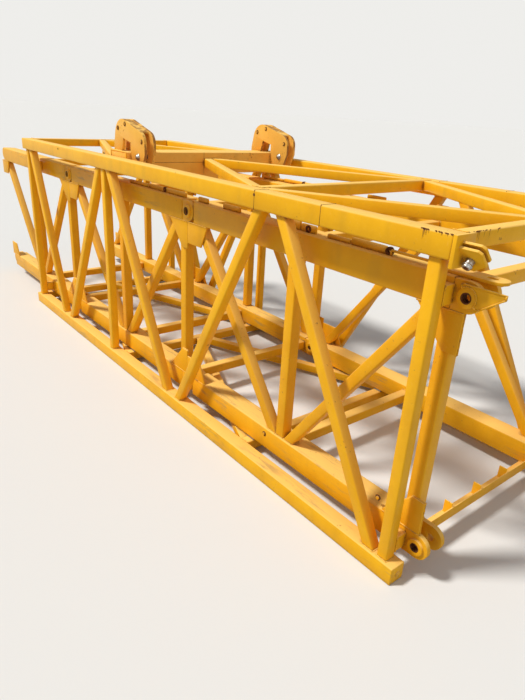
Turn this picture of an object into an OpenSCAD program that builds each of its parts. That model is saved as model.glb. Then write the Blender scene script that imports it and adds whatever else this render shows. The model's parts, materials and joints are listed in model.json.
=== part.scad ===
// Tower crane climbing cage with three mast sections inside it, laid down for storage
// X runs along the cage, its positive end is the near end, Y runs across, Z is up
// Millimetres, with the origin under the middle of the whole object

/* [Cage] */
// Length of the cage's four chords
cage_length = 7100; // [6900:50:7600]
// Side of the square box section of a chord
chord = 140; // [120:5:160]
// Gap between a chord and the side of the mast leg beside it
side_gap = 70; // [60:5:90]
// Side of the square box section of a post
post = 88; // [80:2:100]
// Side of the square box section of a cross strut
cross_strut = 100; // [80:5:110]
// Side of the square box section of diagonals
diagonal = 90; // [70:5:100]
// Distance from one truss node to the next along a side
bay = 1450; // [1380:10:1500]
// Distance from a truss node to the middle of each diagonal that ends there
spread = 130; // [120:5:150]
// Distance from the near end to the middle of the end posts
end_post = 105; // [100:5:140]
// Distance from the near end to the second cross strut
second_strut = 1850; // [1700:50:2000]

/* [Climbing beam] */
// Distance from the near end to the middle of the climbing beam
beam_place = 4260; // [4150:10:4300]
// Width of the climbing beam along the cage
beam_width = 360; // [320:10:380]
// Height of the climbing beam
beam_height = 230; // [200:10:260]
// How far the climbing beam stands above the chords
beam_rise = 60; // [50:5:90]
// Distance between the middles of the two arms
arm_spacing = 1900; // [1800:10:1940]
// Thickness of one plate of an arm
arm_plate = 28; // [20:2:32]
// Clear gap between the two plates of an arm
arm_gap = 75; // [60:5:90]
// Height of an arm above the beam
arm_height = 320; // [310:5:340]
// Width of an arm's rear foot, which stands on the beam
arm_foot = 185; // [160:5:200]
// How far that foot stands out behind the beam
arm_rear = 30; // [0:5:40]
// Width of an arm's front leg, which hooks over the beam's front
arm_front = 310; // [290:5:320]
// How far the front leg reaches down in front of the beam
arm_drop = 160; // [120:10:180]

/* [Mast] */
// Distance between the pin lines of one mast section
pitch = 3000; // [2900:50:3050]
// Distance between the middles of two neighbouring legs
leg_spacing = 1800; // [1700:50:1900]
// Side of the square box section of a leg
leg = 200; // [180:5:220]
// How far the near pin line stands out of the cage
mast_out = 30; // [0:5:60]
// Side of the square box section of the mast's braces
brace = 90; // [70:5:100]
// Side of the square box section of the mast's struts
strut = 100; // [80:5:110]
// Thickness of a gusset plate
gusset = 16; // [10:1:20]
// Length of a gusset plate along the leg
gusset_length = 330; // [280:10:380]
// Height of a gusset plate off the leg
gusset_height = 260; // [200:10:300]

/* [Ears] */
// Diameter of the bore for a joint pin
bore = 55; // [45:1:65]
// Radius of the round end of an ear
ear_radius = 95; // [85:1:95]
// Thickness of one ear of a fork
ear = 38; // [30:1:45]
// Outer radius of the boss round a bore
boss_radius = 62; // [54:1:70]
// How far a boss stands out of its ear
boss = 18; // [10:1:25]

/* [Rests and brackets] */
// Thickness of the pads that the mast lies on
pad = 10; // [8:1:16]
// Running gap between the mast and what guides it
slide_gap = 0.3; // [0.2:0.1:1]
// Thickness of the two slanted plates of a corner bracket
bracket_plate = 16; // [12:1:20]
// Clear gap between those two plates
bracket_gap = 20; // [14:1:24]
// How far a corner bracket reaches beyond the chord
bracket_reach = 155; // [140:5:170]
// Width of a bracket's plates, from the outer edge in towards the mast
bracket_depth = 190; // [170:5:200]
// Diameter of the steel pin in a corner bracket
bracket_pin = 50; // [40:1:54]
// Length of that pin
bracket_pin_length = 110; // [90:5:115]
// How far the flat ears reach beyond the mast's near pin line
flat_ear_reach = 170; // [150:5:190]
// Thickness of a flat ear
flat_ear_plate = 20; // [16:1:24]
// How far the horns beside the upper forks reach beyond that pin line
horn_reach = 230; // [200:5:250]

/* [Hidden] */
$fn = 48;

paint = [0.96, 0.66, 0.1];
paint_pale = [0.98, 0.72, 0.28];
steel = [0.72, 0.72, 0.7];
// Number of mast sections in line
sections = 3;
// Gap that keeps neighbouring bars of one frame apart
seam = 2;
// Gap between a pin and its bore, and between a tongue and its fork
pin_fit = 0.3;
tongue_fit = 2;
// Distance from a pin line to the middle of the end strut of a side
end_strut = 105;
// Gap between the round end of an ear and the box of the next leg
ear_clear = 5;
// Share of a gusset's length that slants away, at a section's near and far end, and the far one's height
gusset_slant = 0.7;
far_gusset_slant = 0.3;
far_gusset_height = 0.78;
// Height of an arm's window at its rear and at its front, and the lean of its rear edge
window_rear = 130;
window_front = 96;
window_lean = 41;
// Rounding of an arm at its rear, at its front and at its toe
rear_round = 180;
front_round = 120;
toe_round = 75;
// Height of the middle of an arm's front rounding, and of its straight foot, above the beam
front_level = 100;
foot_height = 40;
// Radius of the spacers between the plates of an arm
spacer_radius = 28;
// Plate on the near end of a lower chord, and its bolt head
end_plate = 12;
bolt_radius = 24;
// Box under the middle of the beam
beam_box = 240;
beam_box_height = 105;
beam_box_length = 640;
// Base plate of a corner bracket: thickness, and how far it is wider than the chord
base_plate = 24;
base_margin = 40;
// Bevels of a bracket's plates, and the place of the pin as a share of their reach
bracket_bevel = 20;
inner_bevel = [93, 72];
bracket_pin_place = 0.43;
// Height of a guide shoe
shoe_height = 120;
// Flat ear: width, length that lies on the leg, and oval hole
ear_width = 130;
ear_seat = 100;
slot_width = 34;
slot_length = 70;
// Horn: level of its top above the pin, length behind the pin, and heights of its root and of its tip
horn_top = 78;
horn_back = 40;
horn_root = 28;
horn_tip = 25;
// Lower corners of a horn, from the pin, and its gap to the boss
horn_low = [[97, -42], [72, -54]];
horn_gap = 3;
// Angle bar at the mast's near end, and the lugs on it
angle_side = 90;
angle_wall = 10;
lug_size = 70;

mast_width = leg_spacing + leg;
cage_width = mast_width + 2 * (side_gap + chord);
cage_height = cage_width;
// Distance from a pin line to the end of a leg's box
box_back = ear_radius + ear_clear;
// The whole object runs from the far tongues to the tips of the horns
far_reach = sections * pitch - mast_out + ear_radius;
near_end = (far_reach - mast_out - horn_reach) / 2;
far_end = near_end - cage_length;
mast_floor = chord + pad;
leg_y = leg_spacing / 2;
// The gussets lie flush with the outer faces of the legs, and the web lies behind them
gusset_y = leg_y + leg / 2 - gusset / 2;
web_y = leg_y + leg / 2 - gusset - strut / 2;
brace_y = leg_y + leg / 2 - gusset - brace / 2;
leg_low = mast_floor + leg / 2;
leg_high = leg_low + leg_spacing;
web_low = leg_low + leg / 2;
web_high = leg_high - leg / 2;
chord_y = cage_width / 2 - chord / 2;
inner_y = cage_width / 2 - chord;
beam_x = near_end - beam_place;
near_strut_x = near_end - cross_strut / 2;
second_strut_x = near_end - second_strut;
far_strut_x = far_end + cross_strut / 2;
// The bottom struts, which carry the mast
bottom_x = [second_strut_x, beam_x, far_strut_x];
// Truss nodes along a side, from the near end to the far end
truss_x = concat([for (i = [0:4]) near_end - end_post - i * bay], [far_end + end_post]);

function pin_x(k) = near_end + mast_out - (k - 1) * pitch;
function middle_x(k) = pin_x(k) - pitch / 2;

// A box given by two opposite corners
module block(low, high) {
    translate(low)
        cube(high - low);
}

// Puts a drawing in X and Z upright, with its thickness centred on y
module upright(y, thick) {
    translate([0, y + thick / 2, 0])
        rotate([90, 0, 0])
            linear_extrude(thick)
                children();
}

// Lays a drawing in X and Y flat, with its underside at z
module flat(z, thick) {
    translate([0, 0, z])
        linear_extrude(thick)
            children();
}

// A straight bar between two points, cut square to the frame that holds it
module bar(from, to, size, low, high) {
    run = to - from;
    long = norm(run) + 4 * size;
    intersection() {
        translate((from + to) / 2)
            rotate(atan2(run[1], run[0]))
                square([long, size], center = true);
        translate(low)
            square(high - low);
    }
}

// Cage: chords, side frames, top and bottom frames

module chord_bar(side, low) {
    color(paint)
        translate([0, side * chord_y, low])
            block([far_end, -chord / 2, 0], [near_end, chord / 2, chord]);
}

// A lower chord has a plate and a bolt head on its near end
module lower_chord(side) {
    chord_bar(side, 0);
    color(paint)
        translate([near_end, side * chord_y, chord / 2]) {
            block([0, -chord / 2, -chord / 2], [end_plate, chord / 2, chord / 2]);
            translate([end_plate, 0, 0])
                rotate([0, 90, 0])
                    cylinder(r = bolt_radius, h = end_plate, $fn = 6);
        }
}

module side_posts(side) {
    color(paint)
        for (i = [0, 3, 5])
            block([truss_x[i] - post / 2, side * chord_y - post / 2, chord],
                [truss_x[i] + post / 2, side * chord_y + post / 2, cage_height - chord]);
}

module side_diagonals(side) {
    low = [far_end, chord];
    high = [near_end, cage_height - chord];
    color(paint)
        for (i = [0:4]) {
            from = [truss_x[i] - spread, i % 2 == 0 ? chord : cage_height - chord];
            to = [truss_x[i + 1] + spread, i % 2 == 0 ? cage_height - chord : chord];
            upright(side * chord_y, diagonal)
                bar(from, to, diagonal, low, high);
        }
}

// Cross struts of a flat frame, at the given places along the cage
module cross_struts(places, z) {
    for (x = places)
        block([x - cross_strut / 2, -inner_y, z], [x + cross_strut / 2, inner_y, z + cross_strut]);
}

// Two braces from the middle of one strut out to both chords
module brace_pair(apex_x, foot_x, z) {
    low_x = min(apex_x, foot_x);
    high_x = max(apex_x, foot_x);
    for (side = [-1, 1])
        flat(z, diagonal)
            bar([apex_x, side * diagonal / 2], [foot_x, side * (inner_y - diagonal / 2)], diagonal,
                [low_x, side > 0 ? seam / 2 : -inner_y],
                [high_x, side > 0 ? inner_y : -seam / 2]);
}

module top_struts() {
    color(paint)
        cross_struts([near_strut_x, second_strut_x, far_strut_x], cage_height - cross_strut);
}

module top_braces() {
    z = cage_height - diagonal - (cross_strut - diagonal) / 2;
    half = cross_strut / 2;
    color(paint) {
        brace_pair(near_strut_x - half, second_strut_x + half, z);
        brace_pair(beam_x + beam_width / 2, second_strut_x - half, z);
        brace_pair(far_strut_x + half, beam_x - beam_width / 2, z);
    }
}

module bottom_struts() {
    color(paint)
        cross_struts(bottom_x, chord - cross_strut);
}

module bottom_braces() {
    z = chord - cross_strut + (cross_strut - diagonal) / 2;
    half = cross_strut / 2;
    color(paint) {
        brace_pair(beam_x + half, second_strut_x - half, z);
        brace_pair(far_strut_x + half, beam_x - half, z);
    }
}

// Climbing beam and its two arms

module climbing_beam() {
    top = cage_height + beam_rise;
    bottom = top - beam_height;
    front = beam_x + beam_width / 2;
    color(paint_pale) {
        block([front - beam_width, -inner_y, bottom], [front, inner_y, top]);
        block([front - beam_box, -beam_box_length, bottom - beam_box_height],
            [front, beam_box_length / 6, bottom]);
    }
}

// Outline of one arm plate, drawn from the beam's rear top edge along the cage and up
module arm_outline() {
    front = beam_width;
    foot_front = arm_foot - arm_rear;
    tip = front + arm_front;
    difference() {
        union() {
            hull() {
                translate([-arm_rear, 0])
                    square([arm_foot, foot_height]);
                translate([rear_round, arm_height - rear_round])
                    circle(rear_round);
                translate([tip - front_round, front_level])
                    circle(front_round);
                translate([front, 0])
                    square([arm_front, foot_height]);
            }
            hull() {
                translate([front, 0])
                    square([arm_front, foot_height]);
                translate([front + toe_round, toe_round - arm_drop])
                    circle(toe_round);
                translate([tip - 1.2 * toe_round, toe_round / 2 - arm_drop * 0.9])
                    circle(toe_round / 2);
            }
        }
        polygon([[0, -2 * arm_drop], [0, 0], [foot_front, 0], [foot_front + window_lean, window_rear],
            [front, window_front], [front, -2 * arm_drop]]);
    }
}

// A strip that closes the gap between the plates along the top, down to the front rounding
module arm_rim() {
    half = arm_plate / 2;
    hull() {
        translate([rear_round, arm_height - half])
            circle(half);
        translate([beam_width + arm_front - front_round, front_level + front_round - half])
            circle(half);
    }
}

// Two plates with a rim along the top and a round spacer in the front leg
module climbing_arm(y) {
    color(paint_pale)
        translate([beam_x - beam_width / 2, 0, cage_height + beam_rise]) {
            for (side = [-1, 1])
                upright(y + side * (arm_gap + arm_plate) / 2, arm_plate)
                    arm_outline();
            upright(y, arm_gap) {
                arm_rim();
                translate([beam_width + arm_front / 2, 0])
                    circle(spacer_radius);
            }
        }
}

// Guides and rests for the mast

// Blocks on the end posts that keep the legs in line
module guide_shoes() {
    inside = mast_width / 2 + slide_gap;
    outside = chord_y - post / 2;
    color(paint)
        for (x = [truss_x[0], truss_x[5]])
            for (side = [-1, 1])
                for (z = [leg_low, leg_high])
                    block([x - post / 2, side > 0 ? inside : -outside, z - shoe_height / 2],
                        [x + post / 2, side > 0 ? outside : -inside, z + shoe_height / 2]);
}

module rest_pads() {
    color(steel)
        for (x = bottom_x)
            for (side = [-1, 1])
                block([x - cross_strut / 2, side * leg_y - leg / 2, chord],
                    [x + cross_strut / 2, side * leg_y + leg / 2, mast_floor - slide_gap]);
}

// Brackets and pins at the cage's near end

// Puts its children on an upper corner, with X along the cage, Y slanting in towards the mast
module at_corner(side) {
    translate([near_end, side * cage_width / 2, cage_height])
        rotate([270 - side * 45, 0, 0])
            children();
}

// One slanted plate, bevelled a little at its outer corner and more at its inner one
module bracket_outline() {
    tip = bracket_reach;
    start = chord / 2;
    end = start + bracket_depth;
    difference() {
        polygon([[0, start], [tip - bracket_bevel, start], [tip, start + bracket_bevel],
            [tip, end - inner_bevel[1]], [tip - inner_bevel[0], end], [0, end]]);
        at_bracket_pin()
            circle(d = bracket_pin + 2 * pin_fit);
    }
}

module at_bracket_pin() {
    translate([bracket_reach * bracket_pin_place, (chord + bracket_depth) / 2])
        children();
}

// Two plates on the slant of the corner and the base plate that holds them on the chord's end
module corner_brackets() {
    outer = cage_width / 2;
    inner = outer - chord - base_margin;
    color(paint)
        for (side = [-1, 1])
            union() {
                at_corner(side)
                    for (up = [-1, 1])
                        translate([0, 0, up * (bracket_gap + bracket_plate) / 2 - bracket_plate / 2])
                            linear_extrude(bracket_plate)
                                bracket_outline();
                block([near_end, side > 0 ? inner : -outer, cage_height - chord - base_margin],
                    [near_end + base_plate, side > 0 ? outer : -inner, cage_height]);
            }
}

// A pin stands out of its bracket on the outer side
module corner_pins() {
    out = (bracket_pin_length - bracket_gap) / 2 - 1.5 * bracket_plate;
    color(steel)
        for (side = [-1, 1])
            at_corner(side)
                at_bracket_pin()
                    translate([0, 0, side * out])
                        cylinder(d = bracket_pin, h = bracket_pin_length, center = true);
}

// Mast sections

// Calls its children at the four legs of the mast
module each_leg() {
    for (side = [-1, 1])
        for (z = [leg_low, leg_high])
            translate([0, side * leg_y, z])
                children();
}

module section_legs(k) {
    color(paint)
        each_leg()
            block([pin_x(k + 1) + box_back, -leg / 2, -leg / 2],
                [pin_x(k) - box_back, leg / 2, leg / 2]);
}

// Side view of an ear that reaches from a leg's box at one end to its round tip at the pin
module ear_outline(reach) {
    difference() {
        union() {
            circle(ear_radius);
            translate([reach > 0 ? 0 : reach, -ear_radius])
                square([abs(reach), 2 * ear_radius]);
        }
        circle(d = bore);
    }
}

// Two ears at the near end of each leg, with a boss on the outer face of each
module section_forks(k) {
    color(paint)
        each_leg()
            for (side = [-1, 1])
                translate([pin_x(k), 0, 0]) {
                    upright(side * (leg / 2 - ear / 2), ear)
                        ear_outline(-box_back);
                    upright(side * (leg / 2 + boss / 2), boss)
                        difference() {
                            circle(boss_radius);
                            circle(d = bore);
                        }
                }
}

// One ear at the far end of each leg, which fits in the next section's fork
module section_tongues(k) {
    color(paint)
        each_leg()
            translate([pin_x(k + 1), 0, 0])
                upright(0, leg - 2 * ear - 2 * tongue_fit)
                    ear_outline(box_back);
}

// Upright frame of one side: end strut, middle strut and two braces that meet at the middle
module section_web(k, side, meet_low) {
    low = [pin_x(k + 1) + box_back, web_low];
    high = [pin_x(k) - end_strut - strut / 2, web_high];
    foot = meet_low ? web_low : web_high;
    head = meet_low ? web_high : web_low;
    lean = 0.65 * brace;
    color(paint) {
        for (x = [pin_x(k) - end_strut, middle_x(k)])
            block([x - strut / 2, side * web_y - strut / 2, web_low],
                [x + strut / 2, side * web_y + strut / 2, web_high]);
        upright(side * brace_y, brace)
            bar([middle_x(k) + strut / 2 + lean, foot], [high[0] - lean, head], brace, low, high);
        upright(side * brace_y, brace)
            bar([middle_x(k) - strut / 2 - lean, foot], [low[0] + lean, head], brace, low, high);
    }
}

// Struts across the top and bottom of the mast, at a section's near end and middle
module section_cross_struts(k) {
    half = leg_y - leg / 2;
    end_x = pin_x(k) - box_back - strut / 2;
    places = k == 1 ? [[middle_x(k), leg_low], [middle_x(k), leg_high],
        [end_x, leg_high]]
        : [for (x = [middle_x(k), end_x]) for (z = [leg_low, leg_high]) [x, z]];
    color(paint)
        for (p = places)
            block([p[0] - strut / 2, -half, p[1] - strut / 2],
                [p[0] + strut / 2, half, p[1] + strut / 2]);
}

// One gusset plate, drawn from the seam at the pin line along u and away from the leg along v
module gusset_outline(height, slant) {
    polygon([[0, 0], [0, height], [gusset_length * (1 - slant), height], [gusset_length, 0]]);
}

// Plates flush with the legs, where the braces meet them on both sides of a pin line
module section_gussets(k) {
    color(paint)
        for (side = [-1, 1])
            for (up = [-1, 1])
                upright(side * gusset_y, gusset) {
                    translate([pin_x(k) - seam / 2, up > 0 ? web_low : web_high])
                        scale([-1, up])
                            gusset_outline(gusset_height, gusset_slant);
                    translate([pin_x(k + 1) + seam / 2, up > 0 ? web_low : web_high])
                        scale([1, up])
                            gusset_outline(gusset_height * far_gusset_height, far_gusset_slant);
                }
}

// Pins through the ears between neighbouring sections
module joint_pins() {
    pin_length = leg + 2 * boss - 20;
    color(steel)
        each_leg()
            for (k = [2:sections])
                translate([pin_x(k), pin_length / 2, 0])
                    rotate([90, 0, 0])
                        cylinder(d = bore - 2 * pin_fit, h = pin_length);
}

// Flat ear seen from above, from its seat on the leg to its round tip, drawn from the pin line
module flat_ear_outline() {
    middle = flat_ear_reach - ear_width / 2;
    root = box_back + ear_seat;
    slot_end = middle - slot_width / 2;
    difference() {
        union() {
            translate([-root, -ear_width / 2])
                square([root + middle, ear_width]);
            translate([middle, 0])
                circle(d = ear_width);
        }
        hull()
            for (x = [slot_end, slot_end - slot_length + slot_width])
                translate([x, 0])
                    circle(d = slot_width);
    }
}

// Side view of a horn, drawn from the pin, with room for the boss
module horn_outline() {
    difference() {
        polygon([[-horn_back, horn_top - horn_root], [-horn_back, horn_top], [horn_reach, horn_top],
            [horn_reach, horn_top - horn_tip], horn_low[0], horn_low[1]]);
        circle(boss_radius + horn_gap);
    }
}

// On each upper leg's near end: a flat ear on top and a horn on the outer face of the fork
module flat_ears() {
    color(paint)
        for (side = [-1, 1])
            translate([pin_x(1), 0, leg_high]) {
                flat(leg / 2, flat_ear_plate)
                    translate([0, side * leg_y])
                        flat_ear_outline();
                upright(side * (leg_y + leg / 2 + boss / 2), boss)
                    horn_outline();
            }
}

// Angle bar between the lower legs at the near end, with small lugs on it
module end_bar() {
    half = leg_y - leg / 2;
    face = pin_x(1) - box_back;
    bottom = leg_low - leg / 2;
    color(paint) {
        union() {
            block([face - angle_side, -half, bottom], [face, half, bottom + angle_wall]);
            block([face - angle_wall, -half, bottom], [face, half, bottom + angle_side]);
        }
        for (y = [-half / 2, 0, half / 2])
            block([face - angle_wall - lug_size, y - angle_wall / 2, bottom + angle_wall],
                [face - angle_wall, y + angle_wall / 2, bottom + angle_wall + lug_size * 1.6]);
    }
}

chord_bar(-1, cage_height - chord);  // chord_near_top
lower_chord(-1);  // chord_near_bottom
chord_bar(1, cage_height - chord);  // chord_far_top
lower_chord(1);  // chord_far_bottom
side_posts(-1);  // near_side_posts
side_diagonals(-1);  // near_side_diagonals
side_posts(1);  // far_side_posts
side_diagonals(1);  // far_side_diagonals
top_struts();
top_braces();
bottom_struts();
bottom_braces();
climbing_beam();
climbing_arm(-arm_spacing / 2);  // climbing_arm_near
climbing_arm(arm_spacing / 2);  // climbing_arm_far
guide_shoes();
rest_pads();
corner_brackets();
corner_pins();
flat_ears();
section_legs(1);  // section_1_legs
section_forks(1);  // section_1_forks
section_tongues(1);  // section_1_tongues
section_web(1, -1, true);  // section_1_near_web
section_web(1, 1, false);  // section_1_far_web
section_cross_struts(1);  // section_1_cross_struts
section_gussets(1);  // section_1_gussets
section_legs(2);  // section_2_legs
section_forks(2);  // section_2_forks
section_tongues(2);  // section_2_tongues
section_web(2, -1, true);  // section_2_near_web
section_web(2, 1, false);  // section_2_far_web
section_cross_struts(2);  // section_2_cross_struts
section_gussets(2);  // section_2_gussets
section_legs(3);  // section_3_legs
section_forks(3);  // section_3_forks
section_tongues(3);  // section_3_tongues
section_web(3, -1, true);  // section_3_near_web
section_web(3, 1, false);  // section_3_far_web
section_cross_struts(3);  // section_3_cross_struts
section_gussets(3);  // section_3_gussets
joint_pins();
end_bar();
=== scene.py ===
import json
import math
import random

import bmesh
import bpy
from bpy.props import FloatProperty, FloatVectorProperty, PointerProperty
from mathutils import Matrix, Vector, noise
from mathutils.bvhtree import BVHTree


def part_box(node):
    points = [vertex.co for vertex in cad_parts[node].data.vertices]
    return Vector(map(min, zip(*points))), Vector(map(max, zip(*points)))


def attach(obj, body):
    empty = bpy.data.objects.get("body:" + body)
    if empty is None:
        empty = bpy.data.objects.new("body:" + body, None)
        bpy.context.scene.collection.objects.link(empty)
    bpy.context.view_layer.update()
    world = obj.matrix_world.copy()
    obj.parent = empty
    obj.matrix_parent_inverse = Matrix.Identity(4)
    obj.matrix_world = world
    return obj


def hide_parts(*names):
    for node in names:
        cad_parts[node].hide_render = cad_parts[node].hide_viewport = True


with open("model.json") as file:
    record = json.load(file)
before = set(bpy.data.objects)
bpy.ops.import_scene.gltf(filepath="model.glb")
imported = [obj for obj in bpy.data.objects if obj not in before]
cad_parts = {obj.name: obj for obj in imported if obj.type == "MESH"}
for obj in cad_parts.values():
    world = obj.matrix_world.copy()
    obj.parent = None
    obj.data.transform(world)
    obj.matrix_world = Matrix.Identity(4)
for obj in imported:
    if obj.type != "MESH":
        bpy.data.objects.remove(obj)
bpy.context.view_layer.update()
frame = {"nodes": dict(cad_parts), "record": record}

bl_info = {
    "name": "Tower crane climbing cage",
    "version": (1, 0, 0),
    "blender": (4, 5, 0),
    "location": "3D View > Sidebar > Crane cage",
    "description": "Dresses the climbing cage and the mast sections in worn yellow paint and bare steel",
    "category": "Object",
}

CAGE_PAINT = ("chord_near_top", "chord_near_bottom", "chord_far_top", "chord_far_bottom",
              "near_side_posts", "near_side_diagonals", "far_side_posts", "far_side_diagonals",
              "top_struts", "top_braces", "bottom_struts", "bottom_braces",
              "guide_shoes", "corner_brackets")
BEAM_PAINT = ("climbing_beam", "climbing_arm_near", "climbing_arm_far")
MAST_PARTS = ("legs", "forks", "tongues", "near_web", "far_web", "cross_struts", "gussets")
MAST_PAINT = tuple(f"section_{k}_{part}" for k in (1, 2, 3) for part in MAST_PARTS) + ("end_bar", "flat_ears")

# Flat bars that stand on the upper legs, each by its start and end behind the near end and its height
LEG_PLATES = ((4.25, 3.85, 0.04), (3.84, 3.08, 0.05), (2.86, 2.7, 0.05), (2.46, 2.21, 0.05),
              (1.59, 1.45, 0.075), (1.44, 1.28, 0.06), (1.16, 0.94, 0.035), (0.93, 0.62, 0.055))
# How far in from a leg's outer face these fittings stand, and a bar's thickness and how deep it is sunk
FITTING_INSET = 0.05
BAR_THICKNESS = 0.014
BAR_SUNK = 0.002
# Round eyes beside that line: places behind the near end, size, hole, thickness, height and step inwards
LEG_EYES = (3.48, 1.36, 0.6)
EYE_SIZE = 0.056
EYE_HOLE = 0.022
EYE_THICKNESS = 0.024
EYE_LIFT = 0.026
EYE_SHIFT = 0.019
# The rod from the last eye towards the near end, its radius and height, and its two short legs
LEG_ROD = (0.58, 0.27)
ROD_RADIUS = 0.009
ROD_LIFT = 0.035
ROD_LEG_RADIUS = 0.008
ROD_LEG_LENGTH = 0.037
# Bolts on the sides of the lower legs and their gussets, by place behind the near end and height
LEG_BOLTS = ((1.65, 0.29), (0.34, 0.43))
# A bolt's height and its parts as shares of it or of its radius: washer, shoulder and top of the head
BOLT_HEIGHT = 0.012
WASHER_HEIGHT = 0.25
WASHER_RADIUS = 1.5
SHOULDER_HEIGHT = 0.9
HEAD_TOP_RADIUS = 0.88
# How deep bolts and collars are sunk into the face that they stand on
FOOT_SUNK = 0.001
# Butt seams of the upper chords behind the near end, and the small holes under their upper edge, each drawn
# as a rust-coloured disc that is painted shade of the hole's dark inside
CHORD_SEAMS = (0.993, 1.695)
CHORD_HOLES = (1.697, 5.678)
HOLE_RADIUS = 0.012
HOLE_DROP = 0.034
HOLE_SUNK = 0.002
HOLE_PROUD = 0.001
SEAM_RADIUS = 0.0022
# Rust specks at a chord's near end and on the end strut: length of the stretch and how many
CHORD_SPECKS = (0.2, 15)
STRUT_SPECKS = (0.3, 11)
# Least and greatest length and radius of a speck, and how often and how far one runs down
SPECK_LENGTH = (0.004, 0.022)
SPECK_RADIUS = (0.002, 0.0045)
RUN_CHANCE = 0.6
RUN_LENGTH = (0.015, 0.06)
# Seams on the beam's front: the share of its length that they reach, the long one's place under the top
# and its end, and the length of the upright ones
BEAM_SEAM_SHARE = 0.92
BEAM_SEAM_DROP = 0.105
BEAM_SEAM_END = -0.1
BEAM_SEAM_UPRIGHT = 0.23
# Bolts of an arm, by their place ahead of the beam's middle and over its top
ARM_BOLTS = ((0.066, 0.272), (-0.103, 0.226), (0.43, 0.12))
# The pin in an arm's toe, placed the same way, and its collars
ARM_PIN = (0.349, -0.034)
ARM_PIN_RADIUS = 0.021
ARM_PIN_REACH = 0.022
ARM_COLLAR_RADIUS = 0.034
ARM_COLLAR_HEIGHT = 0.005
# A corner pin's collar, by its start and end behind the pin's end, and how wide the collar and the dark
# disc, painted shade of the hollow in the pin's end, are as a share of the pin
PIN_COLLAR = (0.022, 0.01)
COLLAR_SHARE = 1.16
HOLLOW_SHARE = 0.56
HOLLOW_SUNK = 0.002
HOLLOW_PROUD = 0.0008
# Corner radius of the beam, the arms and the turned pins as a multiple of the plates', and how worn the
# arms' rims are
BEAM_ROUND = 2.4
ARM_ROUND = 1.6
PIN_ROUND = 0.6
ARM_RIM_WEAR = 0.85
# Rusty rims of the free bores and of the pinned ones, and the film of rust in the free ones
RIM_THICKNESS = 0.0015
RIM_WIDTH = 0.007
PINNED_RIM_WIDTH = 0.012
PINNED_RIM_INSET = 0.002
LINER_SUNK = 0.0005
LINER_THICKNESS = 0.0008
# Weld beads: spacing of their rings, mean radius and ripple as shares of the weld size, and its fineness
BEAD_PITCH = 0.022
BEAD_MEAN = 0.85
BEAD_RIPPLE = 0.35
RIPPLE_SCALE = 61.0
# The largest end face that is welded all round, and how near to another bar it lies
WELDED_FACE = 0.09
SEAT_GAP = 0.002
# How a bead is tried against shoes and pads: radii it keeps away, steps along it, length of the mast's steps
BEAD_CLEARANCE = 1.3
BEAD_TRIALS = 8
TRAVEL_STEP = 0.04
# How much further rust spreads on the lower chords and the beam, and how much stronger it is on the beam
CHORD_SPREAD = 0.06
BEAM_SPREAD = 0.1
BEAM_RUST = 1.3
# How much lighter thin rust is than thick rust, in its hollows and on its grains, and how dark worn steel is
STAIN_DEEP = 2.6
STAIN_LIGHT = 1.5
WORN_SHADE = 0.6
# Colours of rubbed marks and of rust, from dark to light, of dirt runs and of painted shade in corners
SCUFF_COLOURS = ((0.19, 0.11, 0.05, 1), (0.33, 0.24, 0.16, 1))
RUST_COLOURS = ((0.16, 0.05, 0.018, 1), (0.42, 0.17, 0.05, 1))
RUN_COLOUR = (0.2, 0.12, 0.05, 1)
CORNER_SHADE_COLOUR = (0.16, 0.09, 0.03, 1)
# Directions in which the two lamps stand, and their widths in degrees
KEY_TOWARDS = (-0.34, -0.53, 0.83)
KEY_WIDTH = 9
END_TOWARDS = (0.93, -0.15, 0.3)
END_WIDTH = 50
# Colours of the lamps, of the sky's light and of the sky as the camera sees it
LAMP_COLOUR = (1.0, 0.97, 0.92)
SKY_COLOUR = (0.9, 0.95, 1.0, 1)
BACKDROP_COLOUR = (0.86, 0.853, 0.828, 1)


# Nodes of a material

def add_node(tree, kind, **settings):
    """A new node with its properties and its unlinked inputs set by name."""
    made = tree.nodes.new(kind)
    for name, value in settings.items():
        if hasattr(made, name):
            setattr(made, name, value)
        else:
            made.inputs[name.replace("_", " ")].default_value = value
    return made


def new_group(name, inputs, outputs):
    """A shader node group with its sockets, and its input and output nodes."""
    group = bpy.data.node_groups.new(name, "ShaderNodeTree")
    for label, kind, value in inputs:
        socket = group.interface.new_socket(name=label, in_out="INPUT", socket_type=kind)
        socket.default_value = value
    for label, kind in outputs:
        group.interface.new_socket(name=label, in_out="OUTPUT", socket_type=kind)
    return group, group.nodes.new("NodeGroupInput"), group.nodes.new("NodeGroupOutput")


def ramp(tree, source, low, high):
    """A mask that rises from 0 at low to 1 at high."""
    made = add_node(tree, "ShaderNodeMapRange", interpolation_type="SMOOTHSTEP", From_Min=low, From_Max=high)
    tree.links.new(source, made.inputs["Value"])
    return made.outputs["Result"]


def math_node(tree, operation, first, second):
    """A sum, product or other result of two numbers or links, clamped where it is used as a mask."""
    made = add_node(tree, "ShaderNodeMath", operation=operation, use_clamp=operation in ("MULTIPLY", "ADD"))
    for socket, value in zip(made.inputs, (first, second)):
        if isinstance(value, (int, float)):
            socket.default_value = value
        else:
            tree.links.new(value, socket)
    return made.outputs[0]


def mix_colours(tree, factor, first, second):
    """A colour that goes from the first to the second as the factor goes from 0 to 1."""
    made = add_node(tree, "ShaderNodeMix", data_type="RGBA")
    # The node's colour sockets come after those for numbers and vectors
    for socket, value in ((made.inputs[0], factor), (made.inputs[6], first), (made.inputs[7], second)):
        if isinstance(value, (int, float, tuple, list)):
            socket.default_value = value
        else:
            tree.links.new(value, socket)
    return made.outputs[2]


def noise_value(tree, place, scale, detail, rough):
    """Noise from 0 to 1 at a place."""
    made = add_node(tree, "ShaderNodeTexNoise", Scale=scale, Detail=detail, Roughness=rough)
    tree.links.new(place, made.inputs["Vector"])
    return made.outputs["Fac"]


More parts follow.
